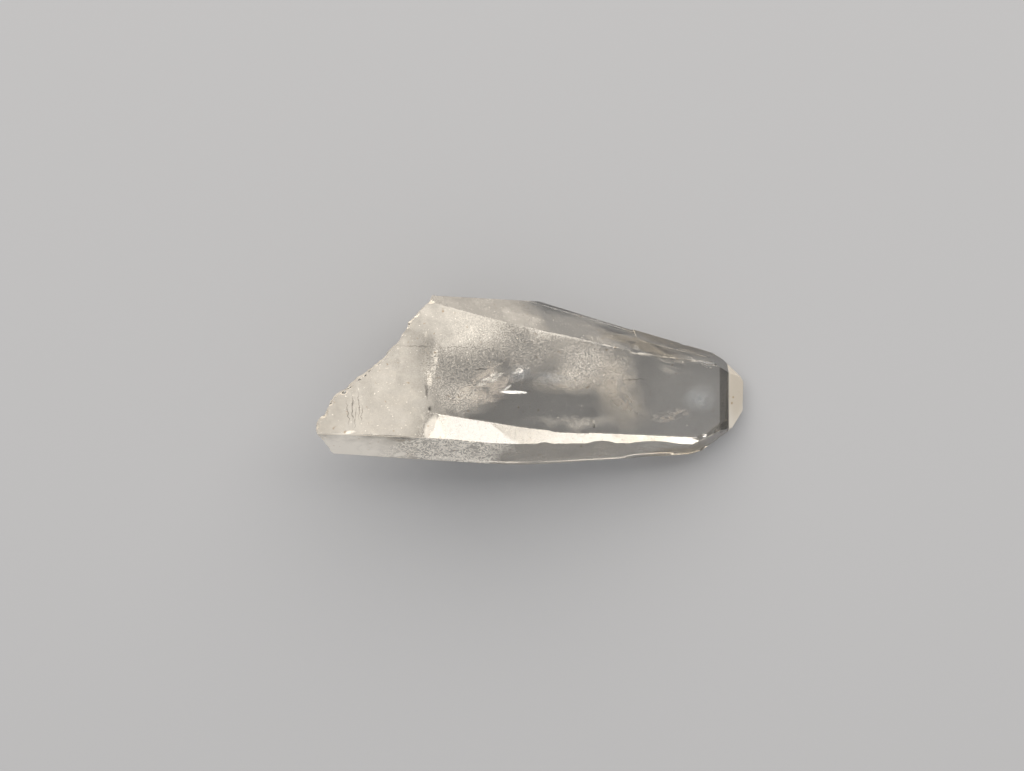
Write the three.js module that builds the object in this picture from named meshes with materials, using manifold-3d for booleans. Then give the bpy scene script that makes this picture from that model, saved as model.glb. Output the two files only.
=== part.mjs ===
// A natural quartz crystal: one six-sided prism that narrows towards a blunt, chisel-shaped tip.
// It lies on one of its prism faces, with the broken base at -X and the tip at +X.
// Millimetres, +Z up. The origin is under the middle of the crystal, on the surface it rests on.
import * as THREE from "three";
import { SimplexNoise } from "three/addons/math/SimplexNoise.js";
import { mergeVertices } from "three/addons/utils/BufferGeometryUtils.js";
import Module from "manifold-3d";

const wasm = await Module();
wasm.setup();

// ---- Driving dimensions ----

// The top face in side view, from the base to the tip, as [x, z]. It is made of narrow facets that
// steepen towards the tip; the last two stretches are the faces of the tip itself.
const TOP_PROFILE = [
  [-30.7, 20.4],
  [-15.45, 18.5],
  [-4.7, 16.0],
  [14.7, 10.15],
  [27.2, 5.48],
  [28.4, 4.71],
  [31.1, 2.1],
];

// The other faces: the compass direction that each looks in (0 is +X, 90 is +Y), its dip from the
// horizontal (0 faces up, 90 is upright, 180 faces down) and a point on it.
const SHARED_FACES = {
  rest: { azimuth: 0, dip: 180, at: [0, 0, 0] },
  back_middle: { azimuth: 86.5, dip: 87, at: [-8.7, 11.9, 10] },
  back_lower_base: { azimuth: 92.7, dip: 119.5, at: [-8.7, 12.15, 5.2] },
  back_lower_tip: { azimuth: 78.6, dip: 119.5, at: [10.4, 8.6, 5.7] },
  front_upper_base: { azimuth: -88, dip: 60, at: [-9.2, -8.68, 17.06] },
  front_upper_tip: { azimuth: -80, dip: 60, at: [7.9, -9.14, 12.2] },
  front_lower_base: { azimuth: -99.5, dip: 117, at: [-17.3, -4.63, 0] },
  front_lower_tip: { azimuth: -92.6, dip: 117.7, at: [11.4, -7.98, 0] },
  tip_back_upper: { azimuth: 46, dip: 66, at: [27.4, 1.72, 5.46] },
  tip_back_lower: { azimuth: 46, dip: 115, at: [29.15, 2.2, 3.0] },
  tip_front_upper: { azimuth: -55, dip: 63, at: [23.7, -9.1, 6.81] },
  tip_front_lower: { azimuth: -52, dip: 118, at: [27.45, -8.5, 4.0] },
  tip_underside: { azimuth: -4, dip: 150, at: [31.1, -2.2, 2.1] },
};
const MAIN_GROWTH = {
  back_upper: { azimuth: 67.9, dip: 60.1, at: [4.3, 6.3, 13.3] },
};
// A younger growth on the back of the tip: it stands a little proud of the back face as a shoulder.
const SHOULDER_GROWTH = {
  shoulder: { azimuth: 60, dip: 42, at: [21.1, 3.2, 7.7] },
  shoulder_back: { azimuth: 70.3, dip: 66, at: [21.15, 4.3, 6.83] },
  shoulder_end: { azimuth: 108, dip: 62, at: [14.9, 5.1, 9.7] },
};

// How far an edge is rounded. Faces that differ by less than GENTLE_ANGLE run into each other as one
// long curve; all other edges are worn to a small radius.
const GENTLE_ANGLE = 9;
const GENTLE_REACH = 5;
const GENTLE_STEPS = 5;
const EDGE_RADIUS = 0.3;
const EDGE_STEPS = 3;
const WIDEST_EDGE = 110; // faces that differ by more than this don't meet

// Fine growth lines: shallow grooves that run across a face, square to the length of the crystal.
const GROWTH_LINES = [
  { face: "front_upper_base", fromX: -12.7, toX: -3.7, count: 3 },
  { face: "front_upper_tip", fromX: 2.3, toX: 18.3, count: 4 },
  { face: "back_upper", fromX: -6.7, toX: 11.3, count: 5 },
  { face: "back_lower_tip", fromX: -6.7, toX: 22.3, count: 13 },
];
const GROWTH_LINE_WIDTH = 0.5;
const GROWTH_LINE_DEPTH = 0.05;

// Chips along the edges. Each is a shallow bite out of the nearest edge, as [x, y, z], then the
// radius of the bite and its depth. The first three make the front edge of the top face wavy.
const CHIPS = [
  { near: [1.5, -9, 14.2], radius: 4, depth: 0.1 },
  { near: [10, -9, 11.6], radius: 8, depth: 0.22 },
  { near: [18.9, -8.7, 8.6], radius: 26, depth: 0.2 },
  { near: [14.9, 5, 10.1], radius: 1.6, depth: 0.16 },
  { near: [25.5, 3.4, 6], radius: 1.1, depth: 0.1 },
  { near: [28.7, 2.4, 4], radius: 1.4, depth: 0.1 },
  { near: [-14.7, 11.6, 18.2], radius: 1.3, depth: 0.3 },
];
const SMALL_CHIPS = { count: 26, radius: [0.6, 2], depth: [0.03, 0.08] }; // scattered on all edges
const RIM_CHIPS = { count: 22, radius: [0.4, 1], depth: [0.06, 0.18] }; // along the rim of the break
const BITE_FACET = 0.5; // size of the small facets that a bite is made of
const PITS = { centre: [24.8, 2.7, 6.3], count: 7, spread: 1.1, radius: 0.22, depth: 0.1 };

// The broken base: its rim in plan, where it meets the top, and its foot, where it meets the rest
// face, both from the front corner to the back one. The break undercuts the top between them.
const BREAK_RIM = [
  [-27.9, -12.4],
  [-28.85, -10.5],
  [-29.8, -8.9],
  [-30.6, -7.0],
  [-29.4, -4.5],
  [-28.2, -2.5],
  [-26, -0.6],
  [-22.7, 2.1],
  [-20.4, 4.1],
  [-19.3, 5.4],
  [-17.4, 8.4],
  [-16, 10.1],
  [-14.5, 11.5],
  [-13.9, 13.8],
];
const BREAK_FOOT = [
  [-19.7, -13.0],
  [-17.7, -8.0],
  [-17.3, -4.0],
  [-17, 1.0],
  [-16.6, 5.0],
  [-15.9, 9.0],
  [-14.6, 14.0],
];
const BREAK_HEIGHT = 20; // from the foot up to the rim
const UNDERCUT = [0.2, 0.72]; // the shares of the way down between which the break runs under the top

const BREAK_CELL = 0.65; // size of the break's mesh
const BREAK_OUTWARD = [-0.75, 0.45, -0.48]; // the way the break looks
const RIB_ORIGIN = [-14.7, 12, 18]; // the curved ribs of the break spread from here
const RIB_SPACING = 1.9;
const RIB_HEIGHT = 0.16;
const RIB_DEPTHS = [2, 7]; // the ribs are flat above the first depth and full below the second
const STEP_HEIGHT = 0.3; // ledges where the break jumps from one level to the next
const STEP_SPACING = 5.5;
const GRAIN_HEIGHT = 0.12;
const GRAIN_SPACING = 1.3;

const BLOCK = 120; // side of the block that the crystal is cut from
const BLOCK_END = -34; // where the block starts, just past the rim of the break
const RANDOM_SEED = 11;

// ---- Helpers ----

const { degToRad, radToDeg, seededRandom, lerp, smoothstep } = THREE.MathUtils;
const vector = (point) => new THREE.Vector3(...point);

seededRandom(RANDOM_SEED);
const noise = new SimplexNoise({ random: () => seededRandom() });

function solidOf(geometry) {
  const bare = geometry.clone();
  bare.deleteAttribute("normal");
  bare.deleteAttribute("uv");
  const merged = mergeVertices(bare, 1e-4);
  return new wasm.Manifold(
    new wasm.Mesh({
      numProp: 3,
      vertProperties: merged.attributes.position.array,
      triVerts: new Uint32Array(merged.index.array),
    }),
  );
}

function geometryOf(solid) {
  const { numProp, numVert, vertProperties, triVerts } = solid.getMesh();
  const positions = new Float32Array(numVert * 3);
  for (let i = 0; i < numVert; i++) {
    positions.set(vertProperties.subarray(i * numProp, i * numProp + 3), i * 3);
  }
  return new THREE.BufferGeometry()
    .setAttribute("position", new THREE.BufferAttribute(positions, 3))
    .setIndex(new THREE.BufferAttribute(triVerts, 1));
}

// ---- Flat faces ----

function normalOf({ azimuth, dip }) {
  return new THREE.Vector3().setFromSphericalCoords(1, degToRad(dip), degToRad(azimuth + 90))
    .applyAxisAngle(new THREE.Vector3(1, 0, 0), Math.PI / 2);
}

// A face as the plane that bounds the crystal: its outward normal and its distance from the origin.
function planeOf(face) {
  const normal = normalOf(face);
  return { normal, reach: normal.dot(vector(face.at)) };
}

function topFacets() {
  return TOP_PROFILE.slice(1).map(([x, z], i) => {
    const [fromX, fromZ] = TOP_PROFILE[i];
    return { azimuth: 0, dip: radToDeg(Math.atan2(fromZ - z, x - fromX)), at: [x, 0, z] };
  });
}

// The planes that round the edge between two planes, as tangents of a cylinder that touches both.
function roundedEdge(a, b) {
  const angle = a.normal.angleTo(b.normal);
  const gentle = angle < degToRad(GENTLE_ANGLE);
  const radius = gentle ? GENTLE_REACH / Math.tan(angle / 2) : EDGE_RADIUS;
  const steps = gentle ? GENTLE_STEPS : EDGE_STEPS;
  return Array.from({ length: steps }, (_, i) => {
    const share = (i + 1) / (steps + 1);
    const fromA = Math.sin((1 - share) * angle) / Math.sin(angle);
    const fromB = Math.sin(share * angle) / Math.sin(angle);
    return {
      normal: a.normal.clone().multiplyScalar(fromA).addScaledVector(b.normal, fromB),
      reach: radius + fromA * (a.reach - radius) + fromB * (b.reach - radius),
    };
  });
}

function growth(ownFaces) {
  const planes = [...Object.values({ ...SHARED_FACES, ...ownFaces }), ...topFacets()].map(planeOf);
  const meeting = planes.flatMap((a, i) => planes.slice(i + 1).map((b) => [a, b]))
    .filter(([a, b]) => a.normal.angleTo(b.normal) < degToRad(WIDEST_EDGE));
  const edges = meeting.flatMap(([a, b]) => roundedEdge(a, b));
  const block = solidOf(
    new THREE.BoxGeometry(BLOCK, BLOCK, BLOCK).translate(BLOCK_END + BLOCK / 2, 0, 0),
  );
  return [...planes, ...edges].reduce(
    (solid, { normal, reach }) => solid.trimByPlane([...normal.clone().negate()], -reach),
    block,
  );
}

function inPlane(normal, along) {
  return along.clone().projectOnPlane(normal).normalize();
}

function growthLines() {
  const faces = { ...SHARED_FACES, ...MAIN_GROWTH };
  return GROWTH_LINES.flatMap(({ face, fromX, toX, count }) => {
    const normal = normalOf(faces[face]);
    const lengthwise = inPlane(normal, new THREE.Vector3(1, 0, 0));
    const across = new THREE.Vector3().crossVectors(normal, lengthwise);
    const place = new THREE.Matrix4().makeBasis(lengthwise, across, normal);
    return Array.from({ length: count }, (_, i) => {
      const x = lerp(fromX, toX, (i + seededRandom()) / count);
      const start = vector(faces[face].at);
      const point = start.addScaledVector(lengthwise, (x - start.x) / lengthwise.x);
      const groove = new THREE.BoxGeometry(Math.SQRT1_2, BLOCK, Math.SQRT1_2)
        .rotateY(Math.PI / 4)
        .scale(GROWTH_LINE_WIDTH * randomBetween(0.6, 1.4), 1, 2 * GROWTH_LINE_DEPTH)
        .applyMatrix4(place)
        .translate(...point);
      return solidOf(groove);
    });
  });
}

// ---- Chips and pits ----

const SPINE = new THREE.Line3(new THREE.Vector3(-21, 0, 12), new THREE.Vector3(25, -1, 2.5));

// The edges of a solid, as straight lines.
function edgesOf(solid) {
  const ends = new THREE.EdgesGeometry(geometryOf(solid), 8).attributes.position;
  const at = (i) => new THREE.Vector3().fromBufferAttribute(ends, i);
  return Array.from({ length: ends.count / 2 }, (_, i) => new THREE.Line3(at(2 * i), at(2 * i + 1)));
}

function nearestOn(edges, point) {
  const onEdges = edges.map((edge) => edge.closestPointToPoint(point, true, new THREE.Vector3()));
  return onEdges.reduce((a, b) => (a.distanceTo(point) < b.distanceTo(point) ? a : b));
}

// A ball that bites into the surface at a point, from the side away from the spine of the crystal.
function bite(point, radius, depth) {
  const inner = SPINE.closestPointToPoint(point, true, new THREE.Vector3());
  const outward = point.clone().sub(inner).normalize();
  const ball = new THREE.IcosahedronGeometry(radius, Math.ceil(radius / BITE_FACET))
    .rotateX(6 * seededRandom())
    .rotateZ(6 * seededRandom())
    .translate(...point.clone().addScaledVector(outward, radius - depth));
  return solidOf(ball);
}

function randomBetween(low, high) {
  return lerp(low, high, seededRandom());
}

function chipsOn(solid) {
  const edges = edgesOf(solid);
  const placed = CHIPS.map(({ near, radius, depth }) => (
    bite(nearestOn(edges, vector(near)), radius, depth)
  ));
  const small = Array.from({ length: SMALL_CHIPS.count }, () => {
    const edge = edges[Math.floor(seededRandom() * edges.length)];
    const point = edge.at(seededRandom(), new THREE.Vector3());
    return bite(point, randomBetween(...SMALL_CHIPS.radius), randomBetween(...SMALL_CHIPS.depth));
  });
  return [...placed, ...small];
}

function rimChipsOn(solid) {
  const edges = edgesOf(solid);
  const rim = new THREE.CatmullRomCurve3(BREAK_RIM.map(([x, y]) => vector([x, y, BREAK_HEIGHT])));
  return Array.from({ length: RIM_CHIPS.count }, () => {
    const point = nearestOn(edges, rim.getPointAt(randomBetween(0.08, 0.94)));
    return bite(point, randomBetween(...RIM_CHIPS.radius), randomBetween(...RIM_CHIPS.depth));
  });
}

function pits() {
  const normal = normalOf(topFacets()[3]);
  return Array.from({ length: PITS.count }, () => {
    const sideways = new THREE.Vector3(seededRandom() - 0.5, seededRandom() - 0.5, 0);
    const offset = sideways.multiplyScalar(2 * PITS.spread).projectOnPlane(normal);
    const point = vector(PITS.centre).add(offset).addScaledVector(normal, PITS.radius - PITS.depth);
    return solidOf(new THREE.IcosahedronGeometry(PITS.radius, 1).translate(...point));
  });
}

// ---- The broken base ----

function breakRelief(point) {
  const away = point.distanceTo(vector(RIB_ORIGIN));
  const waver = noise.noise3d(point.x / 7, point.y / 7, point.z / 7);
  const strength = RIB_HEIGHT * smoothstep(BREAK_HEIGHT - point.z, ...RIB_DEPTHS);
  const ribs = strength * Math.sin((2 * Math.PI * away) / RIB_SPACING + 2 * waver);
  const steps = STEP_HEIGHT * Math.round(
    1.6 * noise.noise3d(point.x / STEP_SPACING, point.y / STEP_SPACING + 9, point.z / (2 * STEP_SPACING)),
  );
  const grain = GRAIN_HEIGHT * noise.noise3d(
    point.x / GRAIN_SPACING, point.y / GRAIN_SPACING, point.z / GRAIN_SPACING,
  );
  return ribs + steps + grain;
}

function breakCutter() {
  const curve = (points, z) => new THREE.CatmullRomCurve3(points.map(([x, y]) => vector([x, y, z])));
  const rim = curve(BREAK_RIM, BREAK_HEIGHT);
  const foot = curve(BREAK_FOOT, 0);
  const outward = vector(BREAK_OUTWARD).normalize();
  const overshoot = 0.2; // the share of its height by which the cutter passes the rim and the foot

  const smoothPoint = (u, down) => {
    const reach = smoothstep(down, ...UNDERCUT);
    const from = rim.getPointAt(u);
    const to = foot.getPointAt(u);
    return new THREE.Vector3(
      lerp(from.x, to.x, reach),
      lerp(from.y, to.y, reach),
      BREAK_HEIGHT * (1 - down),
    );
  };

  const columns = Math.round(rim.getLength() / BREAK_CELL);
  const rows = Math.round((BREAK_HEIGHT * (1 + 2 * overshoot)) / BREAK_CELL);
  const box = new THREE.BoxGeometry(1, 1, 1, columns, rows, 1);
  const positions = box.attributes.position;
  for (let i = 0; i < positions.count; i++) {
    const u = positions.getX(i) + 0.5;
    const down = lerp(-overshoot, 1 + overshoot, 0.5 - positions.getY(i));
    const point = smoothPoint(u, down);
    if (positions.getZ(i) > 0) point.addScaledVector(outward, breakRelief(point));
    else point.x -= BLOCK / 3;
    positions.setXYZ(i, ...point);
  }
  return solidOf(box);
}

// ---- The crystal ----

const carve = (solid, cutter) => solid.subtract(cutter);
const grown = growth(MAIN_GROWTH).add(growth(SHOULDER_GROWTH));
const worn = [...growthLines(), ...chipsOn(grown), ...pits()].reduce(carve, grown);
const broken = worn.subtract(breakCutter());
const crystal = rimChipsOn(broken).reduce(carve, broken);

const quartz = new THREE.MeshStandardMaterial({ color: 0xd9d4ca, roughness: 0.15, metalness: 0 });
const mesh = new THREE.Mesh(geometryOf(crystal), quartz);
mesh.name = "quartz_crystal";

const group = new THREE.Group();
group.add(mesh);
export default group;
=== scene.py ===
"""A natural quartz crystal on a pale studio floor, seen from straight above.

Metres, +Z up. The crystal lies along X, with its broken base at -X and its tip at +X.
Places and sizes in the tables below are in millimetres.
"""

import math

import bmesh
import bpy
from mathutils import Euler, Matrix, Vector, noise


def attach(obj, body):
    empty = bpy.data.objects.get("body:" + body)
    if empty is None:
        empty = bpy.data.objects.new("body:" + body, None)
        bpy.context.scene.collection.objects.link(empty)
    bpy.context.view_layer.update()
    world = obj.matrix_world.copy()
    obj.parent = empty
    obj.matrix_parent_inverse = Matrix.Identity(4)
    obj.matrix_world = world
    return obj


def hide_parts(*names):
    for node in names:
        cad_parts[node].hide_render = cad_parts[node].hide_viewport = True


MM = 0.001

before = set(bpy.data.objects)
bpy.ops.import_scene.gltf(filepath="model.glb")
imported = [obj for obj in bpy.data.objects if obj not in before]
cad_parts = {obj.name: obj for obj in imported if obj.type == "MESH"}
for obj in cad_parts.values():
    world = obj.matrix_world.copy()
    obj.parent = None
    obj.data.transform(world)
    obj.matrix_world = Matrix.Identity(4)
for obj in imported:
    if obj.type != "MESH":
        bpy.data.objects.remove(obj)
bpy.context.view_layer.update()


# ---- Helpers ----


def linear(hex_colour):
    """An sRGB hex colour as linear red, green, blue and alpha."""
    channels = [int(hex_colour[i : i + 2], 16) / 255 for i in (1, 3, 5)]
    return [c / 12.92 if c <= 0.04045 else ((c + 0.055) / 1.055) ** 2.4 for c in channels] + [1.0]


def add_node(tree, kind, inputs=(), **settings):
    """Adds one shader node. Each input is a value, a socket, or a node for its first output."""
    node = tree.nodes.new(kind)
    for name, value in settings.items():
        setattr(node, name, value)
    for name, value in dict(inputs).items():
        if isinstance(value, bpy.types.Node):
            value = value.outputs[0]
        if isinstance(value, bpy.types.NodeSocket):
            tree.links.new(value, node.inputs[name])
        else:
            node.inputs[name].default_value = value
    return node


def new_material(name):
    """An empty node material and its node tree."""
    material = bpy.data.materials.new(name)
    material.use_nodes = True
    material.node_tree.nodes.clear()
    return material, material.node_tree


def activate(obj):
    bpy.ops.object.select_all(action="DESELECT")
    obj.select_set(True)
    bpy.context.view_layer.objects.active = obj


# ---- Camera ----

# The lens looks straight down. At VIEW_LEVEL, about the middle of the crystal's height, the frame
# takes in VIEW_WIDTH. All in millimetres.
VIEW_CENTRE = (-3.39, -0.8)
VIEW_WIDTH = 149.03
VIEW_LEVEL = 8
LENS_HEIGHT = 300
SENSOR_WIDTH = 36


def make_camera():
    data = bpy.data.cameras.new("camera")
    data.sensor_width = SENSOR_WIDTH
    data.lens = SENSOR_WIDTH * (LENS_HEIGHT - VIEW_LEVEL) / VIEW_WIDTH
    data.clip_start = 10 * MM
    camera = bpy.data.objects.new("camera", data)
    camera.location = Vector((*VIEW_CENTRE, LENS_HEIGHT)) * MM
    bpy.context.scene.collection.objects.link(camera)
    bpy.context.scene.camera = camera


# ---- Quartz ----

# Patches on the surface, each as its centre, its half size, its turn about Z in degrees, its
# strength and the share of it over which it fades out.
#
# Where the faces that look up, to the back and to the front are evenly milky.
MILKY = {
    "top": [
        ((-30, -1, 19), (20, 22, 14), 0, 0.4, 0.45),
        ((-14.5, 8.5, 16), (16, 8, 8), 0, 0.55, 0.9),
        ((0, 7.4, 14), (15, 2.4, 6), -11, 0.26, 0.9),
    ],
    "back": [
        ((-14, 11, 16), (21, 12, 16), 0, 0.27, 0.45),
        ((-2, 9, 14), (6, 6, 7), 0, 0.34, 0.7),
        ((8.8, 7.4, 11.6), (6, 1.8, 3), 0, 0.25, 0.7),
        ((6, 8, 12), (12, 5, 6), 0, 0.12, 0.45),
        ((15.8, 5.0, 8.4), (9, 1.2, 3), -17, 0.1, 0.6),
    ],
    "front": [
        ((-30, -11.3, 16), (16, 6.6, 12), 0, 1.0, 0.6),
        ((2, -10, 12), (20, 9, 9), 0, 0.18, 0.45),
        ((18, -8, 2), (11, 6, 5), 0, 0.25, 0.45),
    ],
}
# Small milky spots with a clearer outline.
SPOTS = {
    "top": [
        # A painted reflection: this spot whitens the top where the bright band of reflected light
        # runs on towards the broken base.
        ((-14.3, -9.6, 17), (1.8, 5.6, 8), 0, 0.62, 0.25),
        ((-26.0, -7.5, 19.5), (1.7, 0.5, 4), 0, 0.9, 0.9),
        ((-22.4, -7.7, 19.5), (0.8, 0.4, 4), 0, 0.8, 0.9),
        ((27.5, -3.2, 5), (0.12, 0.55, 2), -20, 0.5, 0.8),
        ((15.0, 3.9, 10), (2.2, 0.45, 3), -8, 0.5, 0.9),
    ],
    "front": [
        ((-19.4, -10.4, 14), (1.4, 0.9, 6), 15, 1.0, 0.7),
        # A painted highlight: a thin white line along the lower front edge.
        ((-12, -11.45, 10), (11, 0.35, 8), -3.6, 0.75, 0.7),
        ((-23.0, -8.8, 16), (0.8, 0.5, 6), 0, 0.9, 0.9),
    ],
}
# Where they are etched into fine white grains, where into sugary strokes, where into pits, and
# where they are streaked along the crystal.
GRAINY = {
    "top": [
        ((-10, 1, 15), (8.5, 8.5, 8), 0, 0.31, 0.55),
        ((-3, 6.2, 15), (13, 6.5, 8), 0, 0.34, 0.55),
        ((-10.2, -2.2, 15), (7.0, 4.8, 8), 0, 0.5, 0.7),
        ((5.0, -5.9, 12), (10, 1.7, 6), -3, 0.36, 0.9),
        ((0, 0, 12), (40, 20, 12), 0, 0.06, 0.1),
    ],
}
SUGARY = {
    "top": [
        ((7.2, 2.8, 12), (11.0, 7.0, 6), -8, 0.52, 0.9),
        ((24.6, 2.9, 6.4), (1.7, 0.8, 2), -20, 0.5, 0.6),
    ],
}
PITTED = {
    "front": [
        ((-13.5, -10.4, 15), (11.5, 4.6, 8), 6, 1.0, 0.35),
    ],
}
STREAKED = {
    "top": [
        ((19, 3.4, 8.4), (10, 2.4, 3), -17, 0.2, 0.9),
    ],
    "back": [
        ((18, 5.6, 8), (16, 4, 5), -17, 0.12, 0.5),
    ],
    "front": [
        ((18, -9.8, 6), (16, 1.6, 6), 6, 0.2, 0.6),
    ],
}
# Cracks that reach the surface, seen as thin dark lines.
CRACKS = [
    ((-17.0, 4.7, 17.5), (3.8, 0.14, 4), -2, 0.6, 0.9),
    ((-11.4, 4.6, 17.5), (3.4, 0.1, 4), 3, 0.6, 0.9),
    ((-7.6, 1.5, 16.5), (2.0, 0.12, 4), 0, 0.8, 0.9),
    ((14.2, 0.1, 10), (2.4, 0.12, 4), 0, 0.8, 0.9),
    ((-14.9, -4.0, 18), (0.45, 0.5, 4), 0, 1.0, 0.9),
    ((-15.4, -1.6, 18), (0.3, 1.6, 4), 4, 0.7, 0.9),
    ((8.4, -6.6, 12), (0.2, 0.4, 4), 0, 1.0, 0.9),
    ((-26.3, -4.6, 19.5), (0.09, 2.6, 4), 8, 0.8, 0.9),
    ((-25.7, -4.2, 19.5), (0.1, 3.0, 4), 2, 0.9, 0.9),
    ((-25.3, -5.4, 19.5), (0.08, 2.2, 4), -5, 0.8, 0.9),
    ((-24.8, -3.6, 19.5), (0.09, 2.6, 4), 3, 0.9, 0.9),
    ((-24.4, -4.6, 19.5), (0.07, 1.8, 4), -3, 0.7, 0.9),
]
# The haze on every face, so faint that it only softens the window.
FAINTEST_HAZE = 0.015
# Where iron has stained the quartz.
STAINED = [
    ((20, 6.2, 4.5), (10, 2.6, 6), -16, 0.7, 0.55),
    ((22, -10.6, 4.5), (9, 2.0, 6), 5, 0.7, 0.55),
    ((15.8, 5.0, 8.4), (9, 1.3, 3), -17, 0.5, 0.6),
    ((29.5, -1, 3), (3, 6, 3), 0, 0.25, 0.55),
    ((28.6, -2.4, 3.4), (0.4, 0.3, 2), 0, 1.0, 0.8),
    ((29.4, -2.6, 3.4), (0.25, 0.3, 2), 0, 1.0, 0.8),
    ((29.2, -3.6, 3.4), (0.3, 0.35, 2), 0, 1.0, 0.8),
]


def object_mm(tree):
    """Object coordinates in millimetres, so that pattern sizes can be given in millimetres."""
    place = add_node(tree, "ShaderNodeTexCoord").outputs["Object"]
    return add_node(tree, "ShaderNodeMapping", {"Vector": place, "Scale": (1000, 1000, 1000)})


def wandering(tree, mm, lump, reach):
    """The same coordinates, pushed about by up to the given reach, so that patches look natural."""
    push = add_node(tree, "ShaderNodeTexNoise", {"Vector": mm, "Scale": 1 / lump, "Detail": 3})
    push = add_node(
        tree, "ShaderNodeVectorMath",
        {0: push.outputs["Color"], 1: (0.5, 0.5, 0.5)}, operation="SUBTRACT",
    )
    push = add_node(
        tree, "ShaderNodeVectorMath", {0: push, "Scale": 4 * reach}, operation="SCALE",
    )
    return add_node(tree, "ShaderNodeVectorMath", {0: mm, 1: push}, operation="ADD")


def patch(tree, mm, centre, half_size, turn, strength, fade):
    """The given strength well inside an ellipsoid and 0 outside it, fading towards its edge."""
    local = add_node(tree, "ShaderNodeMapping", {
        "Vector": mm,
        "Location": centre,
        "Rotation": (0, 0, math.radians(turn)),
        "Scale": half_size,
    }, vector_type="TEXTURE")
    ball = add_node(tree, "ShaderNodeTexGradient", {"Vector": local}, gradient_type="SPHERICAL")
    return add_node(tree, "ShaderNodeMapRange", {
        "Value": ball.outputs["Fac"], "From Max": fade, "To Max": strength,
    }, interpolation_type="SMOOTHSTEP")


def strongest(tree, mm, sides):
    """The strength of the strongest of some patches at each place, each on its own side."""
    most = add_node(tree, "ShaderNodeValue")
    most.outputs[0].default_value = 0.0
    for side, patches in sides.items():
        facing = add_node(tree, "ShaderNodeAttribute", attribute_name=side).outputs["Fac"]
        for spot in patches:
            here = patch(tree, mm, *spot)
            here = add_node(tree, "ShaderNodeMath", {0: here, 1: facing}, operation="MULTIPLY")
            most = add_node(tree, "ShaderNodeMath", {0: most, 1: here}, operation="MAXIMUM")
    return most


def milky_haze(tree, mm, wander, smudged):
    """Even milky patches and spots, with clouds in them from 3 mm down to 0.05 mm across."""
    clouds = add_node(tree, "ShaderNodeTexNoise", {
        "Vector": mm, "Scale": 1 / 3, "Detail": 6, "Roughness": 0.75,
    })
    clouds = add_node(tree, "ShaderNodeMapRange", {
        "Value": clouds, "From Min": 0.35, "From Max": 0.65, "To Min": 0.85, "To Max": 1.15,
    })
    patches = strongest(tree, wander, MILKY)
    spots = strongest(tree, smudged, SPOTS)
    haze = add_node(tree, "ShaderNodeMath", {0: patches, 1: spots}, operation="MAXIMUM")
    return add_node(tree, "ShaderNodeMath", {0: haze, 1: clouds}, operation="MULTIPLY")


def etched_grains(tree, mm, wander):
    """Etched patches of white grains, 0.15 mm across."""
    grains = add_node(tree, "ShaderNodeTexNoise", {"Vector": mm, "Scale": 1 / 0.15, "Detail": 1})
    grains = add_node(tree, "ShaderNodeMapRange", {
        "Value": grains, "From Min": 0.38, "From Max": 0.62, "To Min": 0.15,
    })
    grainy = strongest(tree, wander, GRAINY)
    return add_node(tree, "ShaderNodeMath", {0: grainy, 1: grains}, operation="MULTIPLY")


def sugary_strokes(tree, mm, wander):
    """Etched patches of slanting strokes, 0.25 by 0.1 mm, that look like sugar."""
    strokes = add_node(tree, "ShaderNodeMapping", {
        "Vector": mm, "Rotation": (0, 0, math.radians(-35)), "Scale": (0.25, 0.1, 0.2),
    }, vector_type="TEXTURE")
    strokes = add_node(tree, "ShaderNodeTexNoise", {
        "Vector": strokes, "Scale": 1.0, "Detail": 1, "Distortion": 1.0,
    })
    strokes = add_node(tree, "ShaderNodeMapRange", {
        "Value": strokes, "From Min": 0.38, "From Max": 0.6, "To Min": 0.15,
    })
    sugary = strongest(tree, wander, SUGARY)
    return add_node(tree, "ShaderNodeMath", {0: sugary, 1: strokes}, operation="MULTIPLY")


def growth_streaks(tree, mm, wander):
    """Streaks that run along the crystal, 6 mm long and 0.3 mm wide."""
    along = add_node(tree, "ShaderNodeMapping", {
        "Vector": mm, "Rotation": (0, 0, math.radians(-15)), "Scale": (6, 0.3, 1),
    }, vector_type="TEXTURE")
    streaks = add_node(tree, "ShaderNodeTexNoise", {"Vector": along, "Scale": 1.0, "Detail": 3})
    streaks = add_node(tree, "ShaderNodeMapRange", {
        "Value": streaks, "From Min": 0.42, "From Max": 0.7,
    })
    streaked = strongest(tree, wander, STREAKED)
    return add_node(tree, "ShaderNodeMath", {0: streaked, 1: streaks}, operation="MULTIPLY")


def pit_rims(tree, mm, wander):
    """Pits that run into each other, with threads of white between them, about 1 mm apart."""
    rims = add_node(tree, "ShaderNodeTexNoise", {
        "Vector": mm, "Scale": 1 / 1.3, "Detail": 1, "Distortion": 2.5,
    })
    rims = add_node(tree, "ShaderNodeMath", {0: rims, 1: 0.5}, operation="SUBTRACT")
    rims = add_node(tree, "ShaderNodeMath", {0: rims}, operation="ABSOLUTE")
    rims = add_node(tree, "ShaderNodeMapRange", {
        "Value": rims, "From Min": 0.03, "From Max": 0.1, "To Min": 1.0, "To Max": 0.38,
    })
    pitted = strongest(tree, wander, PITTED)
    return add_node(tree, "ShaderNodeMath", {0: pitted, 1: rims}, operation="MULTIPLY")


def stray_specks(tree, mm):
    """White specks all over, 0.1 mm across."""
    specks = add_node(tree, "ShaderNodeTexNoise", {"Vector": mm, "Scale": 1 / 0.25, "Detail": 0})
    return add_node(tree, "ShaderNodeMapRange", {
        "Value": specks, "From Min": 0.74, "From Max": 0.88, "To Max": 0.4,
    })


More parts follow.
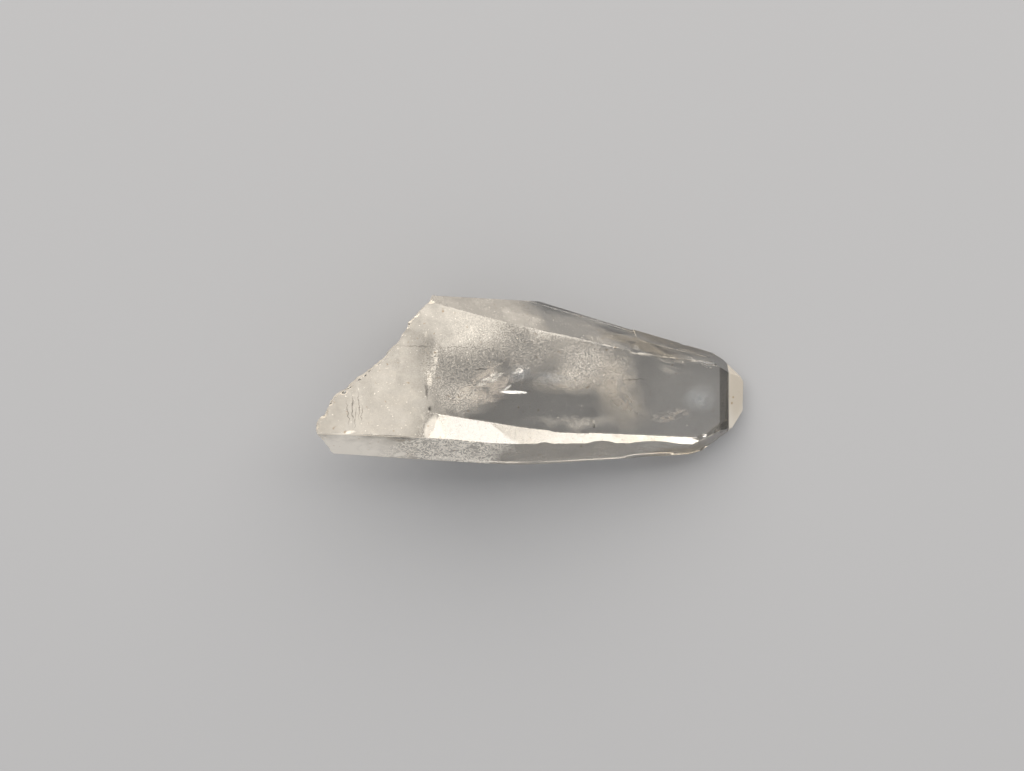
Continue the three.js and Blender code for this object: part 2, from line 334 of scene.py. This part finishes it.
def fracture_frost(tree, mm, height):
    """Cloudy frost on the broken base, whitest along the bruised rim, 14 to 18.5 mm up."""
    frost = add_node(tree, "ShaderNodeTexNoise", {"Vector": mm, "Scale": 1 / 2, "Detail": 4})
    frost = add_node(tree, "ShaderNodeMapRange", {
        "Value": frost, "From Min": 0.35, "From Max": 0.65, "To Min": 0.08, "To Max": 0.5,
    })
    bruised = add_node(tree, "ShaderNodeMapRange", {
        "Value": height, "From Min": 14.0, "From Max": 18.5, "To Max": 0.45,
    })
    frost = add_node(tree, "ShaderNodeMath", {0: frost, 1: bruised}, operation="ADD")
    fracture = add_node(tree, "ShaderNodeAttribute", attribute_name="fracture").outputs["Fac"]
    return add_node(tree, "ShaderNodeMath", {0: fracture, 1: frost}, operation="MULTIPLY")


def painted_edge_highlights(tree, mm):
    """A painted highlight: white lines on the rounded edges, broken into lengths of about 1.5 mm.
    """
    highlight_breaks = add_node(tree, "ShaderNodeTexNoise", {"Vector": mm, "Scale": 1 / 1.5, "Detail": 3})
    highlight_breaks = add_node(tree, "ShaderNodeMapRange", {
        "Value": highlight_breaks, "From Min": 0.4, "From Max": 0.62, "To Min": 0.1, "To Max": 0.4,
    })
    edge_highlight = add_node(tree, "ShaderNodeAttribute", attribute_name="edge_highlight").outputs["Fac"]
    return add_node(tree, "ShaderNodeMath", {0: edge_highlight, 1: highlight_breaks}, operation="MULTIPLY")


def painted_tip_shade_mask(tree, along, height):
    """1 on the first face of the blunt tip, where its colour is greyed as a painted shade."""
    starts = add_node(tree, "ShaderNodeMapRange", {
        "Value": along, "From Min": 27.0, "From Max": 27.2,
    })
    ends = add_node(tree, "ShaderNodeMapRange", {
        "Value": along, "From Min": 28.4, "From Max": 28.6,
    })
    face = add_node(tree, "ShaderNodeMath", {0: starts, 1: ends}, operation="SUBTRACT")
    above = add_node(tree, "ShaderNodeMapRange", {
        "Value": height, "From Min": 1.9, "From Max": 2.3,
    })
    face = add_node(tree, "ShaderNodeMath", {0: face, 1: above}, operation="MULTIPLY")
    top = add_node(tree, "ShaderNodeAttribute", attribute_name="top").outputs["Fac"]
    return add_node(tree, "ShaderNodeMath", {0: face, 1: top}, operation="MULTIPLY")


def pale_tip_face(tree, along, height):
    """The milkiness of the last face of the blunt tip."""
    starts = add_node(tree, "ShaderNodeMapRange", {
        "Value": along, "From Min": 28.4, "From Max": 28.6,
    })
    above = add_node(tree, "ShaderNodeMapRange", {
        "Value": height, "From Min": 1.9, "From Max": 2.3, "To Max": 0.5,
    })
    return add_node(tree, "ShaderNodeMath", {0: starts, 1: above}, operation="MULTIPLY")


def quartz_milkiness(tree, mm, wander, smudged, along, height):
    """How milky the quartz is: 0 is clear, and 1 is white."""
    milky = milky_haze(tree, mm, wander, smudged)
    layers = [
        ("ADD", etched_grains(tree, mm, wander)),
        ("MAXIMUM", sugary_strokes(tree, mm, wander)),
        ("ADD", growth_streaks(tree, mm, wander)),
        ("MAXIMUM", pit_rims(tree, mm, wander)),
        ("ADD", stray_specks(tree, mm)),
        ("MAXIMUM", fracture_frost(tree, mm, height)),
        ("MAXIMUM", pale_tip_face(tree, along, height)),
        # Painted highlight along the rounded edges.
        ("MAXIMUM", painted_edge_highlights(tree, mm)),
        ("ADD", FAINTEST_HAZE),
    ]
    for joining, layer in layers:
        milky = add_node(tree, "ShaderNodeMath", {0: milky, 1: layer}, operation=joining)
    return milky


def quartz_colour(tree, mm, smudged, milky, painted_tip_shade, fracture):
    """Milky quartz is warm white, iron stains it brown, and the first face of the tip is greyed
    with painted shade.
    """
    whiteness = add_node(tree, "ShaderNodeMapRange", {"Value": milky, "From Max": 0.2})
    colour = add_node(tree, "ShaderNodeMixRGB", {
        "Fac": whiteness, "Color1": linear("#ffffff"), "Color2": linear("#f6efe4"),
    })
    for spot in STAINED:
        iron = patch(tree, smudged, *spot)
        colour = add_node(tree, "ShaderNodeMixRGB", {
            "Fac": iron, "Color1": colour, "Color2": linear("#c8b694"),
        }, blend_type="MULTIPLY")

    # Specks of rust, 0.3 mm across.
    rust = add_node(tree, "ShaderNodeTexNoise", {"Vector": mm, "Scale": 1 / 0.7, "Detail": 1})
    rust = add_node(tree, "ShaderNodeMapRange", {
        "Value": rust, "From Min": 0.7, "From Max": 0.8, "To Max": 0.6,
    })
    colour = add_node(tree, "ShaderNodeMixRGB", {
        "Fac": rust, "Color1": colour, "Color2": linear("#c2a47c"),
    }, blend_type="MULTIPLY")
    # Painted shade: grey mixed into the colour of the first face of the tip.
    colour = add_node(tree, "ShaderNodeMixRGB", {
        "Fac": painted_tip_shade, "Color1": colour, "Color2": linear("#8f8a82"),
    })
    colour = add_node(tree, "ShaderNodeMixRGB", {
        "Fac": fracture, "Color1": colour, "Color2": linear("#eeebe5"),
    }, blend_type="MULTIPLY")

    # Cracks are thin grey lines that waver by 0.2 mm.
    wavy = wandering(tree, mm, 0.8, 0.2)
    for spot in CRACKS:
        line = patch(tree, wavy, *spot)
        colour = add_node(tree, "ShaderNodeMixRGB", {
            "Fac": line, "Color1": colour, "Color2": linear("#6b665e"),
        })
    return colour


def quartz_material():
    """Rock crystal: clear, hard and glossy, a little smoky, so that thick parts look greyer."""
    material, tree = new_material("quartz_clear_as_grown")
    mm = object_mm(tree)
    wander = wandering(tree, mm, 5, 1.6)
    smudged = wandering(tree, mm, 3, 0.4)
    axes = add_node(tree, "ShaderNodeSeparateXYZ", {"Vector": mm})
    along, height = axes.outputs["X"], axes.outputs["Z"]
    fracture = add_node(tree, "ShaderNodeAttribute", attribute_name="fracture").outputs["Fac"]

    milky = quartz_milkiness(tree, mm, wander, smudged, along, height)
    # The first face of the tip gets a painted shade, a grey in its colour.
    painted_tip_shade = painted_tip_shade_mask(tree, along, height)
    clear = add_node(
        tree, "ShaderNodeMath", {0: 1.0, 1: milky}, operation="SUBTRACT", use_clamp=True,
    )
    rough = add_node(tree, "ShaderNodeMapRange", {"Value": fracture, "To Min": 0.03, "To Max": 0.3})
    shader = add_node(tree, "ShaderNodeBsdfPrincipled", {
        "Base Color": quartz_colour(tree, mm, smudged, milky, painted_tip_shade, fracture),
        "Roughness": rough,
        "IOR": 1.544,
        "Transmission Weight": clear,
    })
    smoke = add_node(tree, "ShaderNodeVolumeAbsorption", {
        "Color": linear("#b2b1ae"), "Density": 48.0,
    })
    add_node(tree, "ShaderNodeOutputMaterial", {"Surface": shader, "Volume": smoke})
    return material


# ---- The crystal's surface ----


def copy_of_node(node):
    """A copy of the solid's mesh with its triangles joined and its flat faces made whole."""
    crystal = node.copy()
    crystal.data = node.data.copy()
    crystal.name = "quartz"
    bpy.context.scene.collection.objects.link(crystal)
    activate(crystal)
    bpy.ops.object.mode_set(mode="EDIT")
    bpy.ops.mesh.select_all(action="SELECT")
    bpy.ops.mesh.remove_doubles(threshold=0.0005 * MM)
    bpy.ops.mesh.dissolve_limited(angle_limit=math.radians(0.2))
    bpy.ops.object.mode_set(mode="OBJECT")
    return crystal


def mark_sides(crystal):
    """Marks which faces look up, up to the back and up to the front."""
    leaning = 0.25
    mesh = crystal.data
    sides = {side: mesh.attributes.new(side, "FLOAT", "FACE") for side in MILKY}
    for face in mesh.polygons:
        looks = "top"
        if abs(face.normal.y) > leaning:
            looks = "back" if face.normal.y > 0 else "front"
        upwards = face.normal.z > 0.1
        for side, mark in sides.items():
            mark.data[face.index].value = 1.0 if side == looks and upwards else 0.0


# The strips that round the edges are narrower than STRIP_WIDTH and have more than STRIP_AREA. A
# bend across a side is shorter than BEND_LENGTH along the crystal, and lies before TIP_START. In
# millimetres and square millimetres.
STRIP_WIDTH = 0.1
STRIP_AREA = 0.12
BEND_LENGTH = 0.3
TIP_START = 25


def mark_highlit_edges(crystal):
    """Marks the narrow strips that round the edges, where a white line is painted as their
    highlight.

    The bends that cross a side, and not an edge, stay clear.
    """
    mesh = crystal.data
    edge_highlight = mesh.attributes.new("edge_highlight", "FLOAT", "FACE")
    for face in mesh.polygons:
        around = sum(
            (mesh.vertices[a].co - mesh.vertices[b].co).length for a, b in face.edge_keys
        )
        width = 2 * face.area / around
        strip = width < STRIP_WIDTH * MM and face.area > STRIP_AREA * MM * MM
        along = [mesh.vertices[corner].co.x for corner in face.vertices]
        crossing = max(along) - min(along) < BEND_LENGTH * MM and max(along) < TIP_START * MM
        edge_highlight.data[face.index].value = 1.0 if strip and not crossing else 0.0


def mark_fracture(crystal):
    """Marks the many small faces of the broken base, to be frosted and roughened."""
    largest = 3 * MM * MM
    base_end = -13.5 * MM
    mesh = crystal.data
    fracture = mesh.attributes.new("fracture", "FLOAT", "FACE")
    for face in mesh.polygons:
        small = face.area < largest and face.center.x < base_end
        broken = small and face.normal.z < 0.8
        fracture.data[face.index].value = 1.0 if broken else 0.0


def roughen_fracture(crystal):
    """Splits the fracture into faces of about 0.3 mm and adds lumps 0.7 and 0.3 mm across."""
    height = 0.09 * MM
    activate(crystal)
    bpy.ops.object.mode_set(mode="EDIT")
    mesh = bmesh.from_edit_mesh(crystal.data)
    fracture = mesh.faces.layers.float["fracture"]
    for face in mesh.faces:
        face.select_set(face[fracture] > 0.5)
    bpy.ops.mesh.subdivide(number_cuts=1)
    mesh = bmesh.from_edit_mesh(crystal.data)
    fracture = mesh.faces.layers.float["fracture"]
    mesh.normal_update()
    for vertex in mesh.verts:
        if all(face[fracture] > 0.5 for face in vertex.link_faces):
            lift = noise.noise(vertex.co / (0.7 * MM)) + 0.5 * noise.noise(vertex.co / (0.3 * MM))
            vertex.co += vertex.normal * lift * height
    bmesh.update_edit_mesh(crystal.data)
    bpy.ops.object.mode_set(mode="OBJECT")


# Low relief on the grown faces: the way its faces look, its bounds in plan, the size of the cells
# that it is cut into and the height of its bumps.
RELIEFS = {
    "sugary patch": {"up": (0, 0, 1), "x": (-2, 13.5), "y": (-3, 6.6), "cell": 0.2, "height": 0.03},
    "pitted patch": {
        "up": (0, -0.87, 0.5), "x": (-22, -6.5), "y": (-12, -8.4), "cell": 0.4, "height": 0.12,
    },
}


def cut_into_cells(crystal, up, x, y, cell):
    """Cuts the faces that look one way into small cells, within bounds in plan."""
    up = Vector(up).normalized()
    middle = Vector(((x[0] + x[1]) / 2, (y[0] + y[1]) / 2, 0)) * MM

    def select(within):
        mesh = bmesh.from_edit_mesh(crystal.data)
        for face in mesh.faces:
            face.select_set(face.normal.dot(up) > 0.93 and within(face))
        bmesh.update_edit_mesh(crystal.data)

    activate(crystal)
    bpy.ops.object.mode_set(mode="EDIT")
    bpy.ops.mesh.select_mode(type="FACE")
    for axis, (low, high) in enumerate((x, y)):
        normal = Vector((axis == 0, axis == 1, 0))
        for step in range(round((high - low) / cell) + 1):
            place = (low + step * cell) * MM
            point = middle.copy()
            point[axis] = place
            select(lambda face: (
                min(v.co[axis] for v in face.verts) < place < max(v.co[axis] for v in face.verts)
                and (axis == 0 or x[0] * MM < face.calc_center_median().x < x[1] * MM)
            ))
            bpy.ops.mesh.bisect(plane_co=point, plane_no=normal)
    bpy.ops.mesh.select_all(action="DESELECT")
    bpy.ops.object.mode_set(mode="OBJECT")


def raise_relief(crystal, up, x, y, cell, height):
    """Raises and sinks the small cells of a patch, less and less towards its edges."""
    cut_into_cells(crystal, up, x, y, cell)
    up = Vector(up).normalized()
    middle = ((x[0] + x[1]) / 2, (y[0] + y[1]) / 2)
    mesh = bmesh.new()
    mesh.from_mesh(crystal.data)
    mesh.normal_update()
    for vertex in mesh.verts:
        across = 2 * (vertex.co.x / MM - middle[0]) / (x[1] - x[0])
        over = 2 * (vertex.co.y / MM - middle[1]) / (y[1] - y[0])
        reach = 1 - max(abs(across), abs(over)) ** 3
        if reach > 0 and all(face.normal.dot(up) > 0.93 for face in vertex.link_faces):
            fine = noise.noise(vertex.co / (1.3 * cell * MM))
            broad = noise.noise(vertex.co / (4 * cell * MM))
            vertex.co += up * (fine + 0.6 * broad) * reach * height * MM
    mesh.to_mesh(crystal.data)
    mesh.free()


def make_crystal():
    crystal = copy_of_node(bpy.data.objects["quartz_crystal"])
    mark_sides(crystal)
    mark_highlit_edges(crystal)
    mark_fracture(crystal)
    roughen_fracture(crystal)
    for relief in RELIEFS.values():
        raise_relief(crystal, **relief)
    activate(crystal)
    bpy.ops.object.shade_smooth_by_angle(angle=math.radians(10))
    bpy.ops.object.modifier_add(type="WEIGHTED_NORMAL")
    crystal.modifiers[-1].keep_sharp = True
    bpy.ops.object.modifier_apply(modifier=crystal.modifiers[-1].name)
    crystal.data.materials.clear()
    crystal.data.materials.append(quartz_material())
    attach(crystal, "root")
    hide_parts("quartz_crystal")


# ---- Films inside the crystal ----

# Healed cracks and cloudy films: the centre, the size and the turn (degrees about X, Y and Z) of
# each, how far it waves, and its kind.
FILMS = {
    "feathers": {
        "centre": (-6.8, -0.4, 13.2), "size": (13, 5.5), "turn": (14, 12, 24), "wave": 0.8,
        "kind": "feathery",
    },
    "feathers_below": {
        "centre": (-8.4, -1.9, 11.5), "size": (11, 4), "turn": (-10, 14, 10), "wave": 0.8,
        "kind": "feathery",
    },
    "rising_streak": {
        "centre": (-6.7, 0.1, 13.8), "size": (4.6, 1.4), "turn": (-12, 5, 26), "wave": 0.3,
        "kind": "bright",
    },
    "bright_sliver": {
        "centre": (-3.3, -1.75, 14.0), "size": (4.4, 0.55), "turn": (-14, 8, -2), "wave": 0.1,
        "kind": "glint",
    },
    "sliver_branch": {
        "centre": (-4.2, -1.1, 14.0), "size": (1.6, 0.4), "turn": (-14, 8, 35), "wave": 0.1,
        "kind": "glint",
    },
    "bright_spot": {
        "centre": (-2.6, 1.1, 14.0), "size": (1.9, 1.2), "turn": (-14, 8, 10), "wave": 0.1,
        "kind": "bright",
    },
    "spot_glow": {
        "centre": (-2.5, 1.0, 13.4), "size": (4.6, 3.2), "turn": (-14, 8, 20), "wave": 0.3,
        "kind": "bluish",
    },
    "foot_marks": {
        "centre": (-14.6, 2.9, 15.0), "size": (1.1, 5.6), "turn": (-14, 5, -6), "wave": 0.3,
        "kind": "bright",
    },
    "lower_foot_marks": {
        "centre": (-15.3, 0.2, 15.0), "size": (0.9, 3.4), "turn": (-14, 5, 4), "wave": 0.3,
        "kind": "bright",
    },
    "blue_sheen": {
        "centre": (3.0, 0.2, 13.0), "size": (10, 2.6), "turn": (4, 14, -4), "wave": 0.4,
        "kind": "bluish",
    },
    "middle_cloud": {
        "centre": (3.5, -0.3, 11.4), "size": (15, 4.5), "turn": (8, 14, -4), "wave": 0.4,
        "kind": "cloudy",
    },
    "tip_cloud": {
        "centre": (11.6, -2.0, 8.4), "size": (9, 15), "turn": (-4, 16, 32), "wave": 0.5,
        "kind": "cloudy",
    },
    "tip_wisps": {
        "centre": (19.3, -5.2, 6.4), "size": (8, 2.2), "turn": (5, 20, 8), "wave": 0.3,
        "kind": "wispy",
    },
    "tip_glow": {
        "centre": (24.0, -2.7, 4.9), "size": (7, 5), "turn": (0, 20, 0), "wave": 0.2,
        "kind": "bluish",
    },
}


# What the films are made of: the size of their wisps in millimetres, how much of the noise that
# makes them is left clear, how dense they get, their colour, the turn and the length of the wisps,
# how strong their fine lines are, the share of the sheet over which they fade, and how much they
# shine like a mirror, as the air in an open crack does.
FILM_KINDS = {
    "feathery": {
        "name": "quartz_healed_crack", "lump": 1.3, "clear": 0.44, "density": 1.0,
        "colour": "#fff6ee", "turn": 28, "stretch": 3.0, "lines": 0.6,
    },
    "bright": {
        "name": "quartz_open_crack", "lump": 0.4, "clear": 0.42, "density": 1.8,
        "colour": "#ffffff", "turn": 12, "stretch": 2.5, "mirror": 0.6,
    },
    "glint": {
        "name": "quartz_glint", "lump": 0.4, "clear": 0.34, "density": 2.0,
        "colour": "#ffffff", "stretch": 3.0, "mirror": 0.7,
    },
    "cloudy": {
        "name": "quartz_cloudy_film", "lump": 3.0, "clear": 0.3, "density": 0.45,
        "colour": "#f3e9da", "turn": -35, "stretch": 1.5, "fade": 1.0,
    },
    "bluish": {
        "name": "quartz_bluish_film", "lump": 1.6, "clear": 0.2, "density": 0.3,
        "colour": "#e6edf4", "stretch": 3.0, "fade": 1.0,
    },
    "wispy": {
        "name": "quartz_wispy_film", "lump": 0.7, "clear": 0.42, "density": 0.6,
        "colour": "#f7ebdc", "turn": 8, "stretch": 5.0, "fade": 0.8,
    },
}


def film_material(
    name, lump, clear, density, colour, turn=0, stretch=1.0, lines=0.0, fade=0.5, mirror=0.0,
):
    """A film of tiny trapped bubbles in quartz: white, wispy and matt, with clear gaps."""
    material, tree = new_material(name)
    mm = object_mm(tree)
    streaks = add_node(tree, "ShaderNodeMapping", {
        "Vector": mm,
        "Rotation": (0, 0, math.radians(turn)),
        "Scale": (stretch * lump, lump, lump),
    }, vector_type="TEXTURE")
    wisps = add_node(tree, "ShaderNodeTexNoise", {
        "Vector": streaks, "Scale": 1.0, "Detail": 5, "Roughness": 0.65, "Distortion": 1.0,
    })
    film = add_node(tree, "ShaderNodeMapRange", {
        "Value": wisps, "From Min": clear, "From Max": clear + 0.25, "To Max": density,
    }, interpolation_type="SMOOTHSTEP")

    # Fine bright lines run along the streaks and break off here and there.
    contour = add_node(tree, "ShaderNodeTexNoise", {
        "Vector": streaks, "Scale": 1.6, "Detail": 2, "Distortion": 0.8,
    })
    off = add_node(tree, "ShaderNodeMath", {0: contour, 1: 0.5}, operation="SUBTRACT")
    off = add_node(tree, "ShaderNodeMath", {0: off}, operation="ABSOLUTE")
    fine = add_node(tree, "ShaderNodeMapRange", {
        "Value": off, "From Min": 0.0, "From Max": 0.015, "To Min": lines, "To Max": 0.0,
    })
    unbroken = add_node(tree, "ShaderNodeMapRange", {
        "Value": wisps, "From Min": 0.4, "From Max": 0.55,
    })
    fine = add_node(tree, "ShaderNodeMath", {0: fine, 1: unbroken}, operation="MULTIPLY")
    film = add_node(tree, "ShaderNodeMath", {0: film, 1: fine}, operation="MAXIMUM")

    # The film thins out towards the edge of its sheet.
    sheet = add_node(tree, "ShaderNodeTexCoord").outputs["UV"]
    sheet = wandering(tree, sheet, 0.3, 0.07)
    inner = patch(tree, sheet, (0.5, 0.5, 0), (0.5, 0.5, 9), 0, 1.0, fade)
    film = add_node(
        tree, "ShaderNodeMath", {0: film, 1: inner}, operation="MULTIPLY", use_clamp=True,
    )
    shader = add_node(tree, "ShaderNodeBsdfPrincipled", {
        "Base Color": linear(colour), "Roughness": 0.5 - 0.25 * mirror, "IOR": 1.3,
        "Metallic": mirror, "Alpha": film,
    })
    add_node(tree, "ShaderNodeOutputMaterial", {"Surface": shader})
    return material


def make_film(name, centre, size, turn, wave, material):
    """A thin closed sheet, waved a little, that lies inside the quartz."""
    bpy.ops.mesh.primitive_grid_add(x_subdivisions=48, y_subdivisions=32, size=1)
    film = bpy.context.object
    film.name = name
    tilt = Euler([math.radians(angle) for angle in turn]).to_matrix()
    for vertex in film.data.vertices:
        flat = Vector((vertex.co.x * size[0], vertex.co.y * size[1], 0))
        flat.z = wave * noise.noise(flat / 4 + Vector(centre))
        vertex.co = (tilt @ flat + Vector(centre)) * MM
    activate(film)
    bpy.ops.object.modifier_add(type="SOLIDIFY")
    film.modifiers[-1].thickness = 0.02 * MM
    bpy.ops.object.modifier_apply(modifier=film.modifiers[-1].name)
    bpy.ops.object.shade_smooth()
    film.data.materials.append(material)
    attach(film, "root")


def make_films():
    materials = {kind: film_material(**looks) for kind, looks in FILM_KINDS.items()}
    for name, film in FILMS.items():
        shape = {key: value for key, value in film.items() if key != "kind"}
        make_film(name, material=materials[film["kind"]], **shape)


# ---- Studio ----


def floor_material():
    """Matt studio paper, plain and pale."""
    material, tree = new_material("paper_matt")
    shader = add_node(tree, "ShaderNodeBsdfPrincipled", {
        "Base Color": linear("#a3a4a7"), "Roughness": 0.9, "Specular IOR Level": 0.2,
    })
    add_node(tree, "ShaderNodeOutputMaterial", {"Surface": shader})
    return material


def make_floor():
    bpy.ops.mesh.primitive_plane_add(size=3, location=(0, 0, -0.05 * MM))
    floor = bpy.context.object
    floor.name = "floor"
    floor.data.materials.append(floor_material())


def make_area_light(name, azimuth, elevation, distance, size, power, colour):
    """A soft light that faces the crystal. Azimuth 0 is towards +X and 90 towards +Y."""
    data = bpy.data.lights.new(name, "AREA")
    data.shape = "RECTANGLE"
    data.size, data.size_y = size
    data.energy = power
    data.color = linear(colour)[:3]
    light = bpy.data.objects.new(name, data)
    a, e = math.radians(azimuth), math.radians(elevation)
    away = Vector((math.cos(a) * math.cos(e), math.sin(a) * math.cos(e), math.sin(e)))
    light.location = away * distance
    light.rotation_euler = away.to_track_quat("Z", "Y").to_euler()
    bpy.context.scene.collection.objects.link(light)


def make_world():
    world = bpy.data.worlds.new("studio")
    world.use_nodes = True
    background = world.node_tree.nodes["Background"]
    background.inputs["Color"].default_value = linear("#ffffff")
    background.inputs["Strength"].default_value = 0.62
    bpy.context.scene.world = world


make_camera()
make_crystal()
make_films()
make_floor()
make_world()
make_area_light(
    "key", azimuth=90, elevation=45, distance=1.0, size=(2.0, 1.3), power=21.5, colour="#fff9f0",
)

# Light turns back many times inside a clear crystal before it comes out.
scene = bpy.context.scene
scene.view_settings.view_transform = "Standard"
scene.cycles.max_bounces = 24
scene.cycles.transmission_bounces = 24
scene.cycles.glossy_bounces = 12
scene.cycles.transparent_max_bounces = 32
